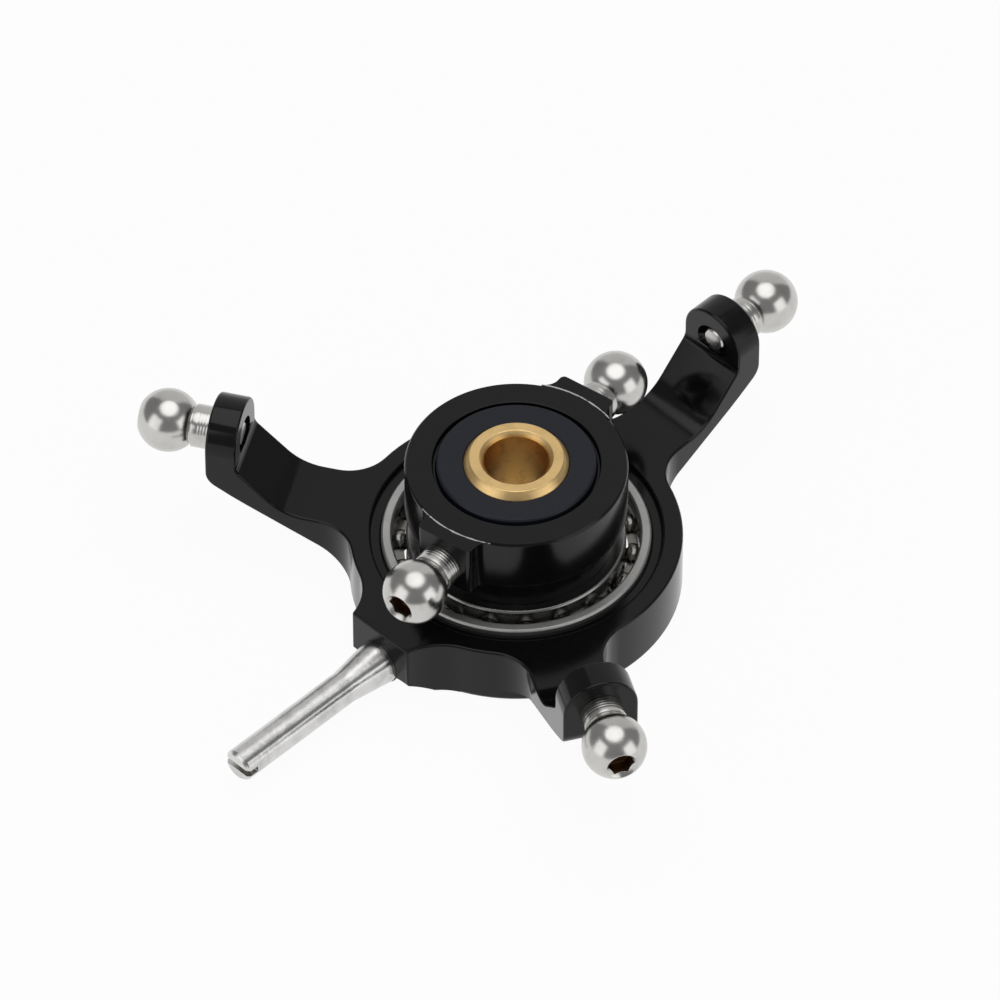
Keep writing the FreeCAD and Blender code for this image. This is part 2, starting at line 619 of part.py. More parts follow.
def anti_rotation_pin():
    """Tapered pin along +X from its seat, slotted across the tip, stood at the pin boss."""
    body, _ = turned("anti_rotation_pin", [
        ("-pin_thread_length", "0"),
        ("-pin_thread_length", "pin_thread_radius"),
        ("0", "pin_thread_radius"),
        ("0", "pin_root_radius"),
        ("pin_taper_length", "pin_radius"),
        ("pin_tip_edge", "pin_radius"),
        ("pin_length", "pin_tip_radius"),
        ("pin_length", "0"),
    ], lying=True)
    slot = body_sketch(body, "pin_slot", "YZ_Plane", [
        ("-pin_slot_half_length", "-pin_slot_half_width"),
        ("pin_slot_half_length", "-pin_slot_half_width"),
        ("pin_slot_half_length", "pin_slot_half_width"),
        ("-pin_slot_half_length", "pin_slot_half_width"),
    ], height="pin_length")
    pocket(body, slot, "pin_slot_depth")
    place_round(body, str(PIN_AZIMUTH), "pin_boss_reach", "pin_axis_depth")
    keep(body, "anti_rotation_pin")


def plain_sketch(name, corners, turn=None, height=None):
    """Sketch that belongs to the document, turned upright where a rotation is given."""
    sketch = doc.addObject("Sketcher::SketchObject", name)
    if turn:
        sketch.Placement = Placement(Vector(0, 0, 0), turn)
    if height:
        sketch.setExpression("Placement.Base.z", bound(height))
    draw(sketch, corners)
    return sketch


def extruded(name, sketch, direction, length, both_ways=False):
    """Solid swept from a sketch along a direction by a named length."""
    solid = doc.addObject("Part::Extrusion", name)
    solid.Base = sketch
    solid.DirMode = "Custom"
    solid.Dir = direction
    solid.Solid = True
    solid.setExpression("LengthFwd", bound(length))
    if both_ways:
        solid.setExpression("LengthRev", bound(length))
    return solid


def combined(kind, name, shapes):
    """MultiCommon or MultiFuse of several solids."""
    result = doc.addObject("Part::" + kind, name)
    result.Shapes = shapes
    return result


def cut_from(name, base, tool):
    result = doc.addObject("Part::Cut", name)
    result.Base = base
    result.Tool = tool
    return result


UPRIGHT_ACROSS = Rotation(Vector(1, 0, 0), 90)
UPRIGHT_ALONG = Rotation(Vector(1, 1, 1), 120)


def arm_sketches():
    """The arm's three outlines along +Y: from the side, from above and from its outer end."""
    side = plain_sketch("arm_side", [
        ("ring_recess_radius", "-ring_top_depth"),
        ("sweep_start", "-ring_top_depth"),
        ("sweep_end", "-sweep_end_depth", "arm_sweep_radius", 1),
        ("ear_fillet_start", "-ear_fillet_depth"),
        ("ear_inner", "-ear_fillet_top", "ear_root_fillet", 1),
        ("ear_inner", "ear_clip_height"),
        ("ear_outer", "ear_clip_height"),
        ("ear_outer", "-toe_top_depth"),
        ("toe_end", "-toe_end_depth", "arm_toe_radius", -1),
        ("ring_recess_radius", "-arm_start_depth"),
    ], turn=UPRIGHT_ALONG)
    above = plain_sketch("arm_plan", [
        ("-arm_root_x", "arm_root_y", "arm_side_fillet", -1),
        ("arm_root_x", "arm_root_y"),
        ("arm_half_width", "arm_side", "arm_side_fillet", -1),
        ("arm_half_width", "arm_clip_reach"),
        ("-arm_half_width", "arm_clip_reach"),
        ("-arm_half_width", "arm_side"),
    ])
    end = plain_sketch("arm_end", [
        ("-arm_clip_half_width", "-arm_clip_depth"),
        ("arm_clip_half_width", "-arm_clip_depth"),
        ("arm_clip_half_width", "0"),
        ("arm_half_width", "0"),
        ("0", "arm_half_width", "arm_half_width", 1),
        ("-arm_half_width", "0", "arm_half_width", 1),
        ("-arm_clip_half_width", "0"),
    ], turn=UPRIGHT_ACROSS)
    return side, above, end


def arm(label, azimuth, sketches):
    """Arm with an upright ear, drilled for the ball stud and countersunk on the ear's inner face."""
    side, above, end = sketches
    form = combined("MultiCommon", label + "_form", [
        extruded(label + "_side", side, Vector(1, 0, 0), "arm_clip_half_width", both_ways=True),
        extruded(label + "_plan", above, Vector(0, 0, 1), "arm_clip_depth", both_ways=True),
        extruded(label + "_end", end, Vector(0, 1, 0), "arm_clip_reach"),
    ])
    along = Rotation(Vector(1, 0, 0), -90)
    hole = doc.addObject("Part::Cylinder", label + "_hole")
    hole.Placement = Placement(Vector(0, 0, 0), along)
    hole.setExpression("Radius", bound("stud_hole_radius"))
    hole.setExpression("Height", bound("arm_clip_reach"))
    sink = doc.addObject("Part::Cone", label + "_countersink")
    sink.Placement = Placement(Vector(0, number("ear_inner"), 0), along)
    sink.setExpression("Placement.Base.y", bound("ear_inner"))
    sink.setExpression("Radius1", bound("ear_countersink_radius"))
    sink.setExpression("Radius2", bound("stud_hole_radius"))
    sink.setExpression("Height", bound("ear_countersink_depth"))
    drilled = cut_from(label + "_arm", form, combined("MultiFuse", label + "_drill", [hole, sink]))
    drilled.Placement = Placement(Vector(0, 0, 0), Rotation(Vector(0, 0, 1), azimuth - 90))
    return drilled


def pin_boss():
    """Boss that flares into the ring: sloped underneath, with a round belly under the pin's thread."""
    plan = plain_sketch("pin_boss_plan", [
        ("-pin_boss_root_x", "pin_boss_root_y", "pin_boss_fillet", -1),
        ("pin_boss_root_x", "pin_boss_root_y"),
        ("pin_boss_half_width", "pin_boss_side", "pin_boss_fillet", -1),
        ("pin_boss_half_width", "pin_boss_clip_reach"),
        ("-pin_boss_half_width", "pin_boss_clip_reach"),
        ("-pin_boss_half_width", "pin_boss_side"),
    ], height="-ring_bottom_depth")
    side = plain_sketch("pin_boss_side_view", [
        ("ring_recess_radius", "-ring_top_depth"),
        ("ring_recess_radius", "-pin_boss_root_depth"),
        ("ring_radius", "-pin_boss_root_depth"),
        ("pin_boss_reach", "-pin_boss_end_depth"),
        ("pin_boss_reach", "-ring_top_depth"),
    ], turn=UPRIGHT_ALONG)
    flared = combined("MultiCommon", "pin_boss_form", [
        extruded("pin_boss_flares", plan, Vector(0, 0, 1), "ring_height"),
        extruded("pin_boss_slope", side, Vector(1, 0, 0), "pin_boss_clip_half_width", both_ways=True),
    ])
    belly = doc.addObject("Part::Cylinder", "pin_boss_belly")
    belly.Placement = Placement(Vector(0, 0, 0), Rotation(Vector(1, 0, 0), -90))
    belly.setExpression("Placement.Base.y", bound("ring_recess_radius"))
    belly.setExpression("Placement.Base.z", bound("-pin_axis_depth"))
    belly.setExpression("Radius", bound("pin_boss_belly_radius"))
    belly.setExpression("Height", bound("pin_boss_length"))
    boss = combined("MultiFuse", "pin_boss", [flared, belly])
    boss.Placement = Placement(Vector(0, 0, 0), Rotation(Vector(0, 0, 1), PIN_AZIMUTH - 90))
    return boss


def swash_ring():
    """Stationary ring: turned body with the bearing seat, three arms and the boss for the pin."""
    section = plain_sketch("ring_section", [
        ("ring_recess_radius", "-ring_top_depth"),
        ("ring_recess_radius", "-ring_recess_floor"),
        ("ring_bore_radius", "-ring_recess_floor"),
        ("ring_bore_radius", "-race_bottom_depth"),
        ("ring_lip_radius", "-race_bottom_depth"),
        ("ring_lip_radius", "-ring_lip_edge_depth"),
        ("ring_lip_edge_radius", "-ring_bottom_depth"),
        ("ring_bottom_edge_radius", "-ring_bottom_depth"),
        ("ring_radius", "-ring_bottom_edge_depth"),
        ("ring_radius", "-ring_top_depth"),
    ], turn=UPRIGHT_ACROSS)
    turning = doc.addObject("Part::Revolution", "ring_turning")
    turning.Source = section
    turning.Axis = Vector(0, 0, 1)
    turning.Angle = 360
    turning.Solid = True
    sketches = arm_sketches()
    arms = [arm(label, azimuth, sketches) for label, azimuth in ARM_AZIMUTHS.items()]
    blank = combined("MultiFuse", "ring_blank", [turning, pin_boss()] + arms)
    blank.Refine = True
    hole = doc.addObject("Part::Cylinder", "pin_hole")
    hole.Placement = Placement(Vector(0, 0, 0), Rotation(Vector(1, 0, 0), 90))
    hole.setExpression("Placement.Base.y", bound("-pin_hole_start"))
    hole.setExpression("Placement.Base.z", bound("-pin_axis_depth"))
    hole.setExpression("Radius", bound("pin_hole_radius"))
    hole.setExpression("Height", bound("pin_hole_length"))
    keep(cut_from("swash_ring", blank, hole), "swash_ring")


def check_and_export():
    """Refuse a failed object or an invalid sub-part, then write each sub-part's STEP file."""
    for thing in doc.Objects:
        if "Invalid" in thing.State or "Error" in thing.State:
            raise RuntimeError("%s failed: %s" % (thing.Name, thing.State))
    for part in parts:
        shape = part.Shape
        if shape.isNull() or not shape.isValid() or not shape.Solids:
            raise RuntimeError("%s has no valid solid" % part.Label)
        print("%-24s solids %d  volume %9.3f" % (part.Label, len(shape.Solids), shape.Volume))
    for part in parts:
        part.Shape.exportStep("parts/%s.step" % part.Label)


def main():
    fill_sheet()
    fill_layout()
    ball_count = int(number("bearing_ball_count"))
    swash_ring()
    anti_rotation_pin()
    for label, azimuth in ARM_AZIMUTHS.items():
        link_ball(label + "_link_ball", "servo_thread_end", str(azimuth), "servo_ball_radius")
    rotor_hub()
    for place in (1, 2):
        azimuth = "Sizes.rotor_stud_turn + %d" % (90 + 180 * (place - 1))
        link_ball("rotor_link_ball_%d" % place, "rotor_thread_end", azimuth, "rotor_ball_radius")
    bearing_races()
    bearing_balls(ball_count)
    cage_half("bearing_cage_upper", ball_count, 0)
    cage_half("bearing_cage_lower", ball_count, 180)
    snap_ring()
    ball_seat("ball_seat_upper", "seat_top_height", "seat_edge_height", "seat_mouth_radius", -1)
    ball_seat("ball_seat_lower", "-seat_bottom_depth", "-seat_edge_depth", "seat_throat_radius", 1)
    mast_ball()
    doc.recompute()
    check_and_export()


main()
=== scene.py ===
"""Looks of a small helicopter swashplate: finishes, rounded edges, lights and camera.

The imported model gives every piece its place.  The pieces are shown by smooth copies of their nodes
with rounded edges, by turned studs and round balls, or as they are, with procedural finishes.
"""

import json
import math

import bmesh
import bpy
from mathutils import Matrix, Vector


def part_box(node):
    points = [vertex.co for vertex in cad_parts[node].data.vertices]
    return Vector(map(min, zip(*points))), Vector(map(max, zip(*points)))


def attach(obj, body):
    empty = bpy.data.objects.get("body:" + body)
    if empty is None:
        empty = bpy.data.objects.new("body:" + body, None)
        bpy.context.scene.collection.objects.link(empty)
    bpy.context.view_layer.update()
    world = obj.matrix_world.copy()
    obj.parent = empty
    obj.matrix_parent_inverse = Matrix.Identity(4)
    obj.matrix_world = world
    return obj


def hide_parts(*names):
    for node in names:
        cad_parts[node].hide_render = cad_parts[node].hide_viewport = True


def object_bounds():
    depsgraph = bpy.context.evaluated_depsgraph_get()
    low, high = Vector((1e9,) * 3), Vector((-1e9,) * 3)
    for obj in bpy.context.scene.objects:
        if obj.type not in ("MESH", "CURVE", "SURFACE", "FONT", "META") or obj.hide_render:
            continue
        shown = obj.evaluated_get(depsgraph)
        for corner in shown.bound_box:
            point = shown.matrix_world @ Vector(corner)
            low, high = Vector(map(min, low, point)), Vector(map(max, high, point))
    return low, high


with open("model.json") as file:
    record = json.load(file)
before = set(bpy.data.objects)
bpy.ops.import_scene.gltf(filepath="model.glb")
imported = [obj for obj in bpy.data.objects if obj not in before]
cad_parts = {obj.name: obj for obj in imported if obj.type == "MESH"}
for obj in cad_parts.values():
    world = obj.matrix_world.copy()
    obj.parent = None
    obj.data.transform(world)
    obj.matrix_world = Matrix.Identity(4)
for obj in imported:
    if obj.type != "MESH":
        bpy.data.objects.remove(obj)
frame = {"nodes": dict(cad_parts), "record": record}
nodes = frame["nodes"]
cad_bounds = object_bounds()
MM = 0.001


# ---------------------------------------------------------------- places read from the frame

def middle(node):
    low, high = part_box(node)
    return (low + high) / 2


def mount(name):
    return [m for m in frame["record"]["mounts"] if m["name"] == name][0]


LINK_BALLS = {
    "elevator_link_ball": "stationary_ring",
    "left_servo_link_ball": "stationary_ring",
    "right_servo_link_ball": "stationary_ring",
    "rotor_link_ball_1": "rotating_hub",
    "rotor_link_ball_2": "rotating_hub",
}
BEARING_BALLS = sorted(n for n in nodes if n.startswith("bearing_ball_"))


# ---------------------------------------------------------------- node helpers

# sockets of the colour form of the mix node
MIX_FACTOR, MIX_FIRST, MIX_SECOND = 0, 6, 7
MIX_RESULT = 2


def new_material(name):
    material = bpy.data.materials.new(name)
    material.use_nodes = True
    tree = material.node_tree
    shader = tree.nodes["Principled BSDF"]
    return material, tree, shader


def add(tree, kind, **settings):
    """A node with its settings; a key that names a socket sets that socket's value."""
    node = tree.nodes.new(kind)
    for key, value in settings.items():
        if hasattr(node, key):
            setattr(node, key, value)
        else:
            node.inputs[key.replace("_", " ")].default_value = value
    return node


def math_node(tree, operation, first, second=None, clamp=False):
    node = add(tree, "ShaderNodeMath", operation=operation, use_clamp=clamp)
    for socket, value in zip(node.inputs, (first, second)):
        if value is None:
            continue
        if isinstance(value, (int, float)):
            socket.default_value = value
        else:
            tree.links.new(value, socket)
    return node.outputs[0]


def noise(tree, place, **values):
    """Strength of a cloudy noise at a place."""
    cloud = add(tree, "ShaderNodeTexNoise", **values)
    tree.links.new(place, cloud.inputs["Vector"])
    return cloud.outputs["Fac"]


def mixed_colour(tree, factor, first, second):
    """First colour where the factor is 0 and second where it is 1; a colour is (r, g, b) or a socket."""
    node = add(tree, "ShaderNodeMix", data_type="RGBA")
    tree.links.new(factor, node.inputs[MIX_FACTOR])
    for place, colour in ((MIX_FIRST, first), (MIX_SECOND, second)):
        if isinstance(colour, tuple):
            node.inputs[place].default_value = (*colour, 1)
        else:
            tree.links.new(colour, node.inputs[place])
    return node.outputs[MIX_RESULT]


def blended(tree, factor, first, second, end):
    """Send a blend of two shaders to the end of the tree."""
    blend = add(tree, "ShaderNodeMixShader")
    for socket, source in zip(blend.inputs, (factor, first.outputs[0], second.outputs[0])):
        tree.links.new(source, socket)
    tree.links.new(blend.outputs[0], tree.nodes[end].inputs[0])


def new_group(name, inputs, outputs):
    """Node group with named sockets: inputs as (name, kind, default), outputs as (name, kind)."""
    group = bpy.data.node_groups.new(name, "ShaderNodeTree")
    for socket, kind, default in inputs:
        made = group.interface.new_socket(name=socket, in_out="INPUT", socket_type=kind)
        if default is not None:
            made.default_value = default
    for socket, kind in outputs:
        group.interface.new_socket(name=socket, in_out="OUTPUT", socket_type=kind)
    entry = group.nodes.new("NodeGroupInput")
    leave = group.nodes.new("NodeGroupOutput")
    return group, entry, leave


def use_group(tree, group, **values):
    node = tree.nodes.new("ShaderNodeGroup")
    node.node_tree = group
    for key, value in values.items():
        node.inputs[key].default_value = value
    return node


FLOAT = "NodeSocketFloat"
VECTOR = "NodeSocketVector"


def handling_group():
    """Smudges and hairline scratches: a roughness change and a height, from a place."""
    group, entry, leave = new_group(
        "handling",
        [("Place", VECTOR, None), ("Smudge", FLOAT, 0.05), ("Scratch", FLOAT, 0.3)],
        [("Roughness", FLOAT), ("Height", FLOAT)],
    )
    cloud = noise(group, entry.outputs["Place"], Scale=260.0, Detail=5.0, Roughness=0.62)
    centred = math_node(group, "SUBTRACT", cloud, 0.5)
    smudge = math_node(group, "MULTIPLY", centred, entry.outputs["Smudge"])
    group.links.new(math_node(group, "MULTIPLY", smudge, 4.0), leave.inputs["Roughness"])
    stretch = add(group, "ShaderNodeMapping")
    stretch.inputs["Scale"].default_value = (3.0, 60.0, 60.0)
    stretch.inputs["Rotation"].default_value = (0.4, 0.2, 0.9)
    group.links.new(entry.outputs["Place"], stretch.inputs["Vector"])
    lines = noise(group, stretch.outputs["Vector"], Scale=90.0, Detail=2.0, Roughness=0.5)
    thin = math_node(group, "GREATER_THAN", lines, 0.71)
    depth = math_node(group, "MULTIPLY", thin, entry.outputs["Scratch"])
    group.links.new(depth, leave.inputs["Height"])
    return group


def turning_group():
    """Lathe marks: rings along an axial distance, each a little different in depth and gloss."""
    group, entry, leave = new_group(
        "turning_marks",
        [("Distance", FLOAT, 0.0), ("Place", VECTOR, None), ("Pitch", FLOAT, 9000.0)],
        [("Height", FLOAT), ("Shade", FLOAT)],
    )
    scaled = math_node(group, "MULTIPLY", entry.outputs["Distance"], entry.outputs["Pitch"])
    rings = add(group, "ShaderNodeTexNoise", noise_dimensions="1D", Detail=2.0, Roughness=0.6)
    group.links.new(scaled, rings.inputs["W"])
    group.links.new(rings.outputs["Fac"], leave.inputs["Height"])
    broken = noise(group, entry.outputs["Place"], Scale=700.0, Detail=3.0)
    mixed = math_node(group, "MULTIPLY", rings.outputs["Fac"], broken)
    group.links.new(mixed, leave.inputs["Shade"])
    return group


HANDLING = handling_group()
TURNING = turning_group()


def bump(tree, height, strength, distance):
    node = add(tree, "ShaderNodeBump")
    node.inputs["Strength"].default_value = strength
    node.inputs["Distance"].default_value = distance
    tree.links.new(height, node.inputs["Height"])
    return node.outputs["Normal"]


def object_place(tree):
    return add(tree, "ShaderNodeTexCoord").outputs["Object"]


def handled(tree, shader, place, roughness, smudge, scratch=0.0):
    """Set a finish's roughness with smudges in it, and return the height of its scratches."""
    wear = use_group(tree, HANDLING, Smudge=smudge, Scratch=scratch)
    tree.links.new(place, wear.inputs["Place"])
    rough = math_node(tree, "ADD", wear.outputs["Roughness"], roughness)
    tree.links.new(rough, shader.inputs["Roughness"])
    return wear.outputs["Height"]


def round_z(tree, place):
    """Distance from the mast axis, and height along it."""
    parts = add(tree, "ShaderNodeSeparateXYZ")
    tree.links.new(place, parts.inputs[0])
    squares = [math_node(tree, "POWER", parts.outputs[i], 2.0) for i in (0, 1)]
    radius = math_node(tree, "SQRT", math_node(tree, "ADD", *squares))
    return radius, parts.outputs[2]


def around(tree, value, centre, width):
    """Mask that is 1 where a value is at its centre and falls to 0 at its width."""
    off = math_node(tree, "ABSOLUTE", math_node(tree, "SUBTRACT", value, centre))
    return math_node(tree, "SUBTRACT", 1.0, math_node(tree, "DIVIDE", off, width), clamp=True)


# ---------------------------------------------------------------- finishes

FINE_GRAIN = 0.00002    # height of the grain in anodising and mouldings, in metres
LATHE_MARK = 0.00003    # height of a lathe mark, in metres
ALUMINIUM = (0.6, 0.6, 0.61)
CHIP_LEVEL = 0.37


def black_anodised(name, roughness, worn_rim=None):
    """Glossy black anodising, with bare metal where a rim (radius, height, width) is scuffed."""
    material, tree, shader = new_material(name)
    shader.inputs["Specular IOR Level"].default_value = 0.26
    place = object_place(tree)
    scratches = handled(tree, shader, place, roughness, smudge=0.035, scratch=0.2)
    grain = noise(tree, place, Scale=1800.0, Detail=2.0)
    height = math_node(tree, "ADD", grain, scratches)
    tree.links.new(bump(tree, height, 0.05, FINE_GRAIN), shader.inputs["Normal"])
    colour = mixed_colour(tree, grain, (0.0028, 0.0029, 0.0031), (0.0052, 0.0052, 0.0052))
    if worn_rim:
        rim_radius, rim_height, width = worn_rim
        radius, high = round_z(tree, place)
        at_radius = around(tree, radius, rim_radius, width)
        at_height = around(tree, high, rim_height, width)
        near = math_node(tree, "MULTIPLY", at_radius, at_height)
        broken = noise(tree, place, Scale=900.0, Detail=5.0, Roughness=0.75)
        chipped = math_node(tree, "MULTIPLY", near, broken)
        bare = math_node(tree, "GREATER_THAN", chipped, CHIP_LEVEL)
        colour = mixed_colour(tree, bare, colour, ALUMINIUM)
        tree.links.new(bare, shader.inputs["Metallic"])
    tree.links.new(colour, shader.inputs["Base Color"])
    return material


def lying_distance(tree, place, azimuth):
    """Distance along a lying axis through the mast axis."""
    turn = add(tree, "ShaderNodeMapping")
    turn.inputs["Rotation"].default_value = (0, 0, -azimuth)
    tree.links.new(place, turn.inputs["Vector"])
    parts = add(tree, "ShaderNodeSeparateXYZ")
    tree.links.new(turn.outputs["Vector"], parts.inputs[0])
    return parts.outputs[0]


def turned_metal(name, colour, roughness, azimuth=None, pitch=5000.0, ring_depth=0.05,
                 shade=0.25, scratch=0.4):
    """Lathe-turned metal, with marks round a lying axis at an azimuth or else round the mast axis.

    The pitch is in marks per metre, the ring depth is a share of LATHE_MARK, and the shade says how
    much darker the marks are than the metal between them.
    """
    material, tree, shader = new_material(name)
    place = object_place(tree)
    if azimuth is None:
        distance = math_node(tree, "ADD", *round_z(tree, place))
    else:
        distance = lying_distance(tree, place, azimuth)
    marks = use_group(tree, TURNING, Pitch=pitch)
    tree.links.new(distance, marks.inputs["Distance"])
    tree.links.new(place, marks.inputs["Place"])
    scratches = handled(tree, shader, place, roughness, smudge=0.05, scratch=scratch)
    height = math_node(tree, "ADD", marks.outputs["Height"], scratches)
    tree.links.new(bump(tree, height, ring_depth, LATHE_MARK), shader.inputs["Normal"])
    dark = tuple(c * (1 - shade) for c in colour)
    clean = math_node(tree, "MULTIPLY", marks.outputs["Shade"], 3.4, clamp=True)
    tree.links.new(mixed_colour(tree, clean, dark, colour), shader.inputs["Base Color"])
    shader.inputs["Metallic"].default_value = 1.0
    return material


def tinted(material, mask, colour):
    """Lay a second colour over a finish where a mask is 1."""
    tree = material.node_tree
    shader = tree.nodes["Principled BSDF"]
    clean = shader.inputs["Base Color"].links[0].from_socket
    tree.links.new(mixed_colour(tree, mask, clean, colour), shader.inputs["Base Color"])


# Painted shade in the hexagon socket: brown is laid over the steel nearer the ball's centre than this,
# and fades out over the next distance.
SOCKET_SHADE_START = 2.15 * MM    # from the ball's centre; all of the ball's skin lies further out
SOCKET_SHADE_FADE = 0.4 * MM


def stud_steel(name, azimuth):
    """Turned steel, darkened to brown deep in the socket as painted shade."""
    material = turned_metal("stud_steel_" + name, (0.6, 0.59, 0.57), 0.21, azimuth, pitch=14000.0,
                            ring_depth=0.07, shade=0.3, scratch=0.2)
    tree = material.node_tree
    away = add(tree, "ShaderNodeVectorMath", operation="DISTANCE")
    tree.links.new(object_place(tree), away.inputs[0])
    away.inputs[1].default_value = mount(name)["pos_m"]
    # Painted shade: the deeper a point lies in the socket, the browner it is made.
    depth = math_node(tree, "SUBTRACT", SOCKET_SHADE_START, away.outputs["Value"])
    socket_shade = math_node(tree, "DIVIDE", depth, SOCKET_SHADE_FADE, clamp=True)
    tinted(material, socket_shade, (0.2, 0.13, 0.07))
    return material


BORE_TINT_RADIUS = 2.7 * MM
BORE_TINT_FADE = 0.15 * MM
STAIN_LEVEL = 0.52
STAIN_SHARPNESS = 5.0


def mast_brass():
    """Turned brass, browner down the bore and stained, most of all inside it."""
    material = turned_metal("mast_brass", (0.86, 0.60, 0.27), 0.38, pitch=6000.0, ring_depth=0.08)
    tree = material.node_tree
    radius, _ = round_z(tree, object_place(tree))
    within = math_node(tree, "SUBTRACT", BORE_TINT_RADIUS, radius)
    inside = math_node(tree, "DIVIDE", within, BORE_TINT_FADE, clamp=True)
    tinted(material, inside, (0.72, 0.40, 0.11))
    stain = noise(tree, object_place(tree), Scale=900.0, Detail=5.0, Roughness=0.65)
    risen = math_node(tree, "SUBTRACT", stain, STAIN_LEVEL)
    spread = math_node(tree, "MULTIPLY", risen, STAIN_SHARPNESS, clamp=True)
    strength = math_node(tree, "ADD", math_node(tree, "MULTIPLY", inside, 0.4), 0.2)
    browned = math_node(tree, "MULTIPLY", spread, strength)
    tinted(material, browned, (0.3, 0.15, 0.04))
    return material


def seat_polymer():
    """Smooth bluish-black moulding with a faint sheen."""
    material, tree, shader = new_material("seat_polymer")
    shader.inputs["Specular IOR Level"].default_value = 0.28
    place = object_place(tree)
    handled(tree, shader, place, 0.36, smudge=0.05)
    grain = noise(tree, place, Scale=5000.0, Detail=3.0)
    tree.links.new(bump(tree, grain, 0.05, FINE_GRAIN), shader.inputs["Normal"])
    colour = mixed_colour(tree, grain, (0.007, 0.009, 0.015), (0.011, 0.013, 0.021))
    tree.links.new(colour, shader.inputs["Base Color"])
    return material


# ---------------------------------------------------------------- meshes

WELD = 0.0005 * MM
LATHE_WELD = 0.0002 * MM
FLAT_ANGLE = math.radians(0.4)
SHARP_ANGLE = math.radians(28)
SMOOTH_ANGLE = math.radians(40)
ROUNDING_STEPS = 3
SIDE_SHARE = 0.48      # of an edge, which the roundings at its two ends may take each
DEPTH_SHARE = 0.9      # of the way to a neighbour's far end, which a rounding may take


def object_from(name, tool, material):
    """Object in the scene from a finished bmesh."""
    mesh = bpy.data.meshes.new(name)
    tool.to_mesh(mesh)
    tool.free()
    mesh.materials.append(material)
    made = bpy.data.objects.new(name, mesh)
    bpy.context.scene.collection.objects.link(made)
    return made


def piece_from(name, tool, body, replaced, material, bevel=None):
    """Object from a finished bmesh: smooth shading, bevelled edges, riding on its body."""
    piece = object_from(name, tool, material)
    for face in piece.data.polygons:
        face.use_smooth = True
    if bevel:
        rounding = piece.modifiers.new("edges", "BEVEL")
        rounding.width = bevel
        rounding.segments = ROUNDING_STEPS
        rounding.limit_method = "ANGLE"
        rounding.angle_limit = SHARP_ANGLE
    evening = piece.modifiers.new("even_shading", "WEIGHTED_NORMAL")
    evening.keep_sharp = True
    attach(piece, body)
    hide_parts(*replaced)


def merged_copy(node):
    """A closed copy of a node: its loose triangles joined, and flat faces made whole."""
    tool = bmesh.new()
    tool.from_mesh(nodes[node].data)
    bmesh.ops.remove_doubles(tool, verts=tool.verts, dist=WELD)
    bmesh.ops.dissolve_limit(tool, angle_limit=FLAT_ANGLE, verts=tool.verts, edges=tool.edges)
    return tool


def roomy(sharp, width):
    """Those of the sharp edges beside which a rounding of this width fits at every corner."""
    chosen = set(sharp)
    while True:
        tight = set()
        for edge in chosen:
            for start in edge.link_loops:
                for corner in (start, start.link_loop_next):
                    other = corner.link_loop_prev.edge if corner.edge is edge else corner.edge
                    angle = corner.calc_angle()
                    own, beside = edge.calc_length(), other.calc_length()
                    if other in chosen:
                        crowded = width / math.tan(angle / 2) > SIDE_SHARE * min(own, beside)
                    else:
                        crowded = width > DEPTH_SHARE * beside * math.sin(angle)
                        if angle < math.pi / 2:
                            crowded = crowded or width / math.tan(angle) > SIDE_SHARE * own
                    if crowded:
                        tight.add(edge)
        if not tight:
            return [edge for edge in sharp if edge in chosen]
        chosen -= tight


def rounded(tool, width):
    """Round the sharp edges of a closed mesh, and mark the edges that stay sharp."""
    sharp = [edge for edge in tool.edges if edge.calc_face_angle() > SHARP_ANGLE]
    bmesh.ops.bevel(
        tool, geom=roomy(sharp, width), offset=width, offset_type="OFFSET", segments=ROUNDING_STEPS,
        profile=0.5, affect="EDGES", clamp_overlap=False, material=-1,
    )
    for edge in tool.edges:
        edge.smooth = edge.calc_face_angle() < SMOOTH_ANGLE
    return tool


def lathe(outline, steps=96):
    """Surface turned about Z from (along, radius) points, open where an end is off the axis."""
    tool = bmesh.new()
    points = [tool.verts.new((radius, 0, along)) for along, radius in outline]
    lines = [tool.edges.new(pair) for pair in zip(points, points[1:])]
    bmesh.ops.spin(
        tool, geom=points + lines, cent=(0, 0, 0), axis=(0, 0, 1), angle=2 * math.pi,
        steps=steps, use_merge=True,
    )
    bmesh.ops.remove_doubles(tool, verts=tool.verts, dist=LATHE_WELD)
    return tool


def laid_down(tool, azimuth, centre):
    """Turn a mesh about Z so that it lies along an azimuth from a centre."""
    bmesh.ops.recalc_face_normals(tool, faces=tool.faces)
    lying = Matrix.Rotation(azimuth, 4, "Z") @ Matrix.Rotation(math.pi / 2, 4, "Y")
    bmesh.ops.transform(tool, matrix=Matrix.Translation(centre) @ lying, verts=tool.verts)


def drawn_in(tool, edges, place):
    """Extrude a loop of edges and put each new corner at place(angle), a (radius, along) pair."""
    made = bmesh.ops.extrude_edge_only(tool, edges=edges)["geom"]
    for corner in [g for g in made if isinstance(g, bmesh.types.BMVert)]:
        angle = math.atan2(corner.co.y, corner.co.x)
        radius, along = place(angle)
        corner.co = (radius * math.cos(angle), radius * math.sin(angle), along)
    return [g for g in made if isinstance(g, bmesh.types.BMEdge)]


def arc(centre, radius, start, end, count):
    """Points (along, radius) on an arc about a centre on the axis, with angles from +along."""
    steps = [start + (end - start) * i / count for i in range(count + 1)]
    return [(centre + radius * math.cos(a), radius * math.sin(a)) for a in steps]


# ---------------------------------------------------------------- pieces

def azimuth_of(name):
    axis = mount(name)["axis"]
    return math.atan2(axis[1], axis[0])


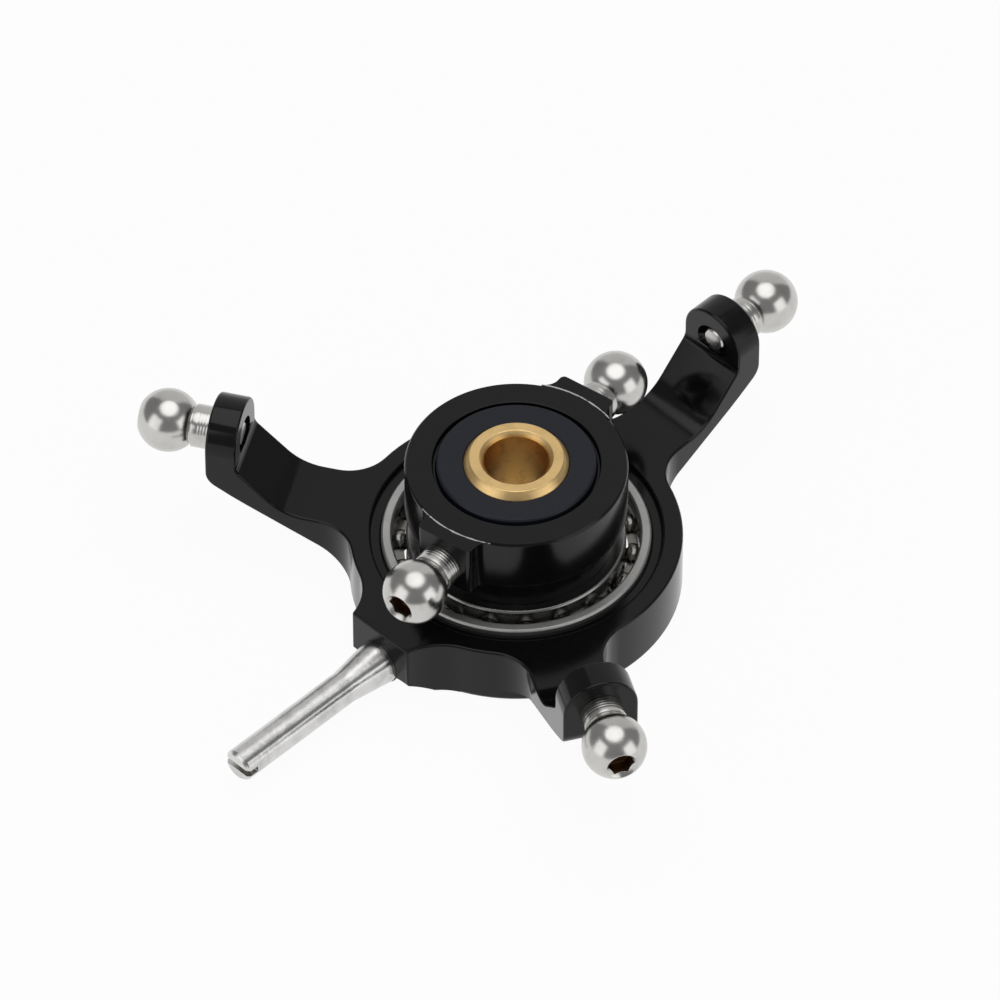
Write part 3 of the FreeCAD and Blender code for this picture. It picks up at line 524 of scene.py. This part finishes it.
# Studs: radii, and places along the axis from the ball's centre.  The neck is 0.15 mm wider in radius
# than that of the solids, and the collar ends 0.11 mm nearer to the ball.
SOCKET_HALF = 0.9 * MM
SOCKET_DEPTH = 1.3 * MM
SOCKET_TIP = 0.02 * MM
STUD_SEAT = 3.7 * MM
COLLAR = 1.7 * MM
COLLAR_END = 2.14 * MM
NECK = 1.5 * MM
THREAD = 1.0 * MM
THREAD_TIP = 0.86 * MM
THREAD_CHAMFER = 0.14 * MM
RIM = 1.22 * MM
BALL_STEPS = 44
GROOVE_FLOOR = COLLAR * 0.9965
GROOVES_MM = (3.42, 3.18, 2.94, 2.7)
GROOVE_HALF_MM = 0.03


def hexagon_reach(angle):
    """Distance from the axis to the side of the hexagon socket at an angle."""
    off = (angle + math.pi / 6) % (math.pi / 3) - math.pi / 6
    return SOCKET_HALF / math.cos(off)


def link_ball(name, body):
    """Ball stud: shank, ringed collar, neck, and a ball with a chamfered hexagon socket."""
    where = Vector(mount(name)["pos_m"])
    azimuth = azimuth_of(name)
    outward = Vector((math.cos(azimuth), math.sin(azimuth), 0))
    low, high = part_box(name)
    ball = (high.z - low.z) / 2
    node = nodes[name]
    thread_end = min((node.matrix_world @ v.co - where).dot(outward) for v in node.data.vertices)
    pole = math.sqrt(ball ** 2 - RIM ** 2)
    outline = [(thread_end, 0), (thread_end, THREAD_TIP), (thread_end + THREAD_CHAMFER, THREAD)]
    outline += [(-STUD_SEAT, THREAD), (-STUD_SEAT, COLLAR)]
    for place in GROOVES_MM:
        outline.append((-place * MM, COLLAR))
        outline.append((-(place - GROOVE_HALF_MM) * MM, GROOVE_FLOOR))
        outline.append((-(place - 2 * GROOVE_HALF_MM) * MM, COLLAR))
    outline += [(-COLLAR_END, COLLAR), (-COLLAR_END, NECK)]
    outline += arc(0, ball, math.pi - math.asin(NECK / ball), math.asin(RIM / ball), BALL_STEPS)
    tool = lathe(outline)
    rim = [e for e in tool.edges if e.is_boundary]
    scallops = drawn_in(tool, rim, lambda a: (hexagon_reach(a), pole - (RIM - hexagon_reach(a))))
    walls = drawn_in(tool, scallops, lambda a: (hexagon_reach(a), pole - SOCKET_DEPTH))
    floor = drawn_in(tool, walls, lambda a: (SOCKET_HALF * 0.8, pole - SOCKET_DEPTH - SOCKET_TIP))
    tip = bmesh.ops.contextual_create(tool, geom=floor)["faces"]
    bmesh.ops.poke(tool, faces=tip)
    laid_down(tool, azimuth, where)
    piece_from(name + "_bright", tool, body,
               [name], stud_steel(name, azimuth), bevel=0.02 * MM)


def bearing_parts():
    """Ground races, polished balls and the pressed cage, which is shown as it is; the inner race, the
    balls and the cage are darkened as painted shade.
    """
    outer = turned_metal("outer_race_steel", (0.5, 0.5, 0.485), 0.5,
                         pitch=7000.0, ring_depth=0.06, scratch=0.9)
    # Painted shade: the inner race is much darker than the outer one, which dims the highlight on its
    # chamfer.
    inner = turned_metal("inner_race_steel", (0.3, 0.3, 0.29), 0.26,
                         pitch=4000.0, ring_depth=0.14, scratch=0.6)
    for node, body, race in (
        ("bearing_outer_race", "stationary_ring", outer),
        ("bearing_inner_race", "rotating_hub", inner),
    ):
        piece_from(node + "_ground", merged_copy(node), body,
                   [node], race, bevel=0.03 * MM)
    # Painted shade: the balls are darker than polished steel, which dims their glints in the gap between
    # the races.
    polish = turned_metal("ball_steel", (0.42, 0.42, 0.42), 0.09,
                          pitch=2000.0, ring_depth=0.01, shade=0.05)
    for node in BEARING_BALLS:
        tool = bmesh.new()
        low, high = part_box(node)
        bmesh.ops.create_icosphere(tool, subdivisions=4, radius=(high.z - low.z) / 2)
        bmesh.ops.translate(tool, vec=middle(node), verts=tool.verts)
        piece_from(node + "_polished", tool, "bearing_cage", [node], polish)
    # Painted shade: the cage is dark, standing in for the shade in the gap between the races.
    pressed = turned_metal("cage_steel", (0.24, 0.23, 0.21), 0.2, pitch=3000.0, ring_depth=0.03)
    for node in ("bearing_cage_upper", "bearing_cage_lower"):
        paint(node, pressed)


def paint(node, material):
    """Give a node that is shown as it is its finish."""
    mesh = nodes[node].data
    mesh.materials.clear()
    mesh.materials.append(material)


FLANGE_RADIUS = 8.65 * MM
RIM_WEAR_WIDTH = 0.2 * MM
HUB_ROUNDING = 0.1 * MM
RING_ROUNDING = 0.2 * MM


def hub_and_ring():
    low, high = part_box("rotor_hub")
    hub_black = black_anodised("hub_black", 0.18, worn_rim=(FLANGE_RADIUS, high.z, RIM_WEAR_WIDTH))
    hub = rounded(merged_copy("rotor_hub"), HUB_ROUNDING)
    piece_from("rotor_hub_anodised", hub, "rotating_hub",
               ["rotor_hub"], hub_black)
    ring_black = black_anodised("ring_black", 0.13)
    ring = rounded(merged_copy("swash_ring"), RING_ROUNDING)
    piece_from("swash_ring_anodised", ring, "stationary_ring",
               ["swash_ring"], ring_black)


def mast_ball_and_seats():
    piece_from("mast_ball_turned", merged_copy("mast_ball"), "mast_ball",
               ["mast_ball"], mast_brass(), bevel=0.04 * MM)
    polymer = seat_polymer()
    for node in ("ball_seat_upper", "ball_seat_lower"):
        piece_from(node + "_moulded", merged_copy(node), "rotating_hub",
                   [node], polymer, bevel=0.04 * MM)


def pin_and_snap_ring():
    steel = turned_metal("pin_steel", (0.68, 0.675, 0.66), 0.1, azimuth_of("anti_rotation_pin"),
                         pitch=11000.0, ring_depth=0.18, shade=0.5, scratch=0.5)
    piece_from("anti_rotation_pin_turned", merged_copy("anti_rotation_pin"), "stationary_ring",
               ["anti_rotation_pin"], steel, bevel=0.04 * MM)
    spring = turned_metal("spring_steel", (0.3, 0.29, 0.28), 0.3, pitch=4000.0)
    piece_from("hub_snap_ring_sprung", merged_copy("hub_snap_ring"), "rotating_hub",
               ["hub_snap_ring"], spring, bevel=0.03 * MM)


# ---------------------------------------------------------------- stage, lights and camera

VIEW_AZIMUTH = math.radians(44.65)
VIEW_ELEVATION = math.radians(46.956)

# The table, the backdrop and the lamps: sizes in metres.
TABLE_HALF = 3.0
TABLE_GAP = 0.02 * MM
BACKDROP_RADIUS = 1.3
BACKDROP_FOOT = -0.011
BACKDROP_TOP = 1.95
BACKDROP_ANGLES = range(42, 125, 8)    # degrees round from the camera's right-hand side


def floor_material():
    """White table: the camera sees it nearly white, and the object's shadow stays on it."""
    material, tree, shader = new_material("table_white")
    shader.inputs["Base Color"].default_value = (0.9, 0.9, 0.9, 1)
    shader.inputs["Roughness"].default_value = 0.6
    glow = add(tree, "ShaderNodeEmission")
    glow.inputs["Color"].default_value = (1, 1, 1, 1)
    rays = add(tree, "ShaderNodeLightPath")
    seen = math_node(tree, "MULTIPLY", rays.outputs["Is Camera Ray"], 0.95)
    mirrored = math_node(tree, "MULTIPLY", rays.outputs["Is Glossy Ray"], 0.88)
    shown = math_node(tree, "ADD", seen, mirrored, clamp=True)
    blended(tree, shown, shader, glow, "Material Output")
    return material


def stage():
    """Table just clear of the object's base."""
    tool = bmesh.new()
    bmesh.ops.create_grid(tool, x_segments=1, y_segments=1, size=TABLE_HALF)
    table = object_from("table", tool, floor_material())
    table.location.z = cad_bounds[0][2] - TABLE_GAP


def backdrop_material():
    """White paper: white to the camera, and in reflections a little greyer towards the top."""
    material, tree, shader = new_material("backdrop_white")
    shader.inputs["Base Color"].default_value = (0.8, 0.8, 0.8, 1)
    shader.inputs["Roughness"].default_value = 0.8
    high = add(tree, "ShaderNodeSeparateXYZ")
    tree.links.new(object_place(tree), high.inputs[0])
    fall = math_node(tree, "MULTIPLY", high.outputs[2], 0.04)
    level = math_node(tree, "SUBTRACT", 0.73, fall, clamp=True)
    glow = add(tree, "ShaderNodeEmission")
    rays = add(tree, "ShaderNodeLightPath")
    seen = math_node(tree, "MULTIPLY", rays.outputs["Is Camera Ray"], 0.97)
    tree.links.new(math_node(tree, "MAXIMUM", level, seen), glow.inputs["Strength"])
    shown = math_node(tree, "MAXIMUM", rays.outputs["Is Glossy Ray"], rays.outputs["Is Camera Ray"])
    blended(tree, shown, shader, glow, "Material Output")
    return material


def backdrop():
    """Curved sheet behind the object, on the side away from the camera."""
    tool = bmesh.new()
    foot = []
    for degrees in BACKDROP_ANGLES:
        angle = VIEW_AZIMUTH + math.radians(degrees)
        place = (BACKDROP_RADIUS * math.cos(angle), BACKDROP_RADIUS * math.sin(angle))
        foot.append(tool.verts.new((*place, BACKDROP_FOOT)))
    lines = [tool.edges.new(pair) for pair in zip(foot, foot[1:])]
    lifted = bmesh.ops.extrude_edge_only(tool, edges=lines)["geom"]
    for corner in [g for g in lifted if isinstance(g, bmesh.types.BMVert)]:
        corner.co.z = BACKDROP_TOP
    sheet = object_from("backdrop", tool, backdrop_material())


def soft_box(name, direction, distance, shape, size, radiance):
    """Area lamp that faces the origin; its power gives the wanted radiance over its face."""
    lamp = bpy.data.lights.new(name, "AREA")
    lamp.shape = shape
    lamp.size = size
    area = math.pi * size * size / 4 if shape == "DISK" else size * size
    lamp.energy = radiance * math.pi * area
    holder = bpy.data.objects.new(name, lamp)
    toward = Vector(direction).normalized()
    holder.location = toward * distance
    holder.rotation_euler = toward.to_track_quat("Z", "Y").to_euler()
    bpy.context.scene.collection.objects.link(holder)


def from_view(azimuth_deg, elevation_deg):
    """Direction given by its azimuth from the camera's right-hand side and its elevation."""
    azimuth = math.radians(azimuth_deg) + VIEW_AZIMUTH
    elevation = math.radians(elevation_deg)
    flat = math.cos(elevation)
    return (flat * math.cos(azimuth), flat * math.sin(azimuth), math.sin(elevation))


def lights():
    """Round dish overhead, a window on each side of the camera, and a grey room."""
    soft_box("overhead_dish", (0.001, 0, 1), distance=0.45, shape="DISK", size=0.52, radiance=1.4)
    soft_box("left_window", from_view(-146, 21), distance=0.6, shape="SQUARE", size=0.46, radiance=1.1)
    soft_box("right_window", from_view(-32, 15), distance=0.6, shape="SQUARE", size=0.44, radiance=1.15)
    world = bpy.data.worlds.new("studio")
    bpy.context.scene.world = world
    world.use_nodes = True
    tree = world.node_tree
    grey = tree.nodes["Background"]
    grey.inputs["Color"].default_value = (0.26, 0.26, 0.265, 1)
    rays = add(tree, "ShaderNodeLightPath")
    white = add(tree, "ShaderNodeBackground")
    white.inputs["Color"].default_value = (1, 1, 1, 1)
    blended(tree, rays.outputs["Is Camera Ray"], grey, white, "World Output")


CAMERA_AWAY_MM = 850.9
CAMERA_LEFT_MM = 1.259
CAMERA_DOWN_MM = 1.073


def camera():
    """Long lens on the mast ball from the view's azimuth and elevation."""
    lens = bpy.data.cameras.new("camera")
    lens.sensor_width = 36.0
    lens.lens = 396.7
    lens.clip_start = 0.01
    lens.clip_end = 20.0
    eye = bpy.data.objects.new("camera", lens)
    right = Vector((math.cos(VIEW_AZIMUTH), math.sin(VIEW_AZIMUTH), 0))
    level = Vector((-math.sin(VIEW_AZIMUTH), math.cos(VIEW_AZIMUTH), 0))
    back = -level * math.cos(VIEW_ELEVATION) + Vector((0, 0, math.sin(VIEW_ELEVATION)))
    up = back.cross(right)
    place = back * CAMERA_AWAY_MM * MM - right * CAMERA_LEFT_MM * MM - up * CAMERA_DOWN_MM * MM
    turn = Matrix((right, up, back)).transposed().to_4x4()
    eye.matrix_world = Matrix.Translation(place) @ turn
    bpy.context.scene.collection.objects.link(eye)
    bpy.context.scene.camera = eye


hub_and_ring()
mast_ball_and_seats()
bearing_parts()
pin_and_snap_ring()
for ball_name, ball_body in LINK_BALLS.items():
    link_ball(ball_name, ball_body)
stage()
backdrop()
lights()
camera()
bpy.context.scene.view_settings.view_transform = "Standard"
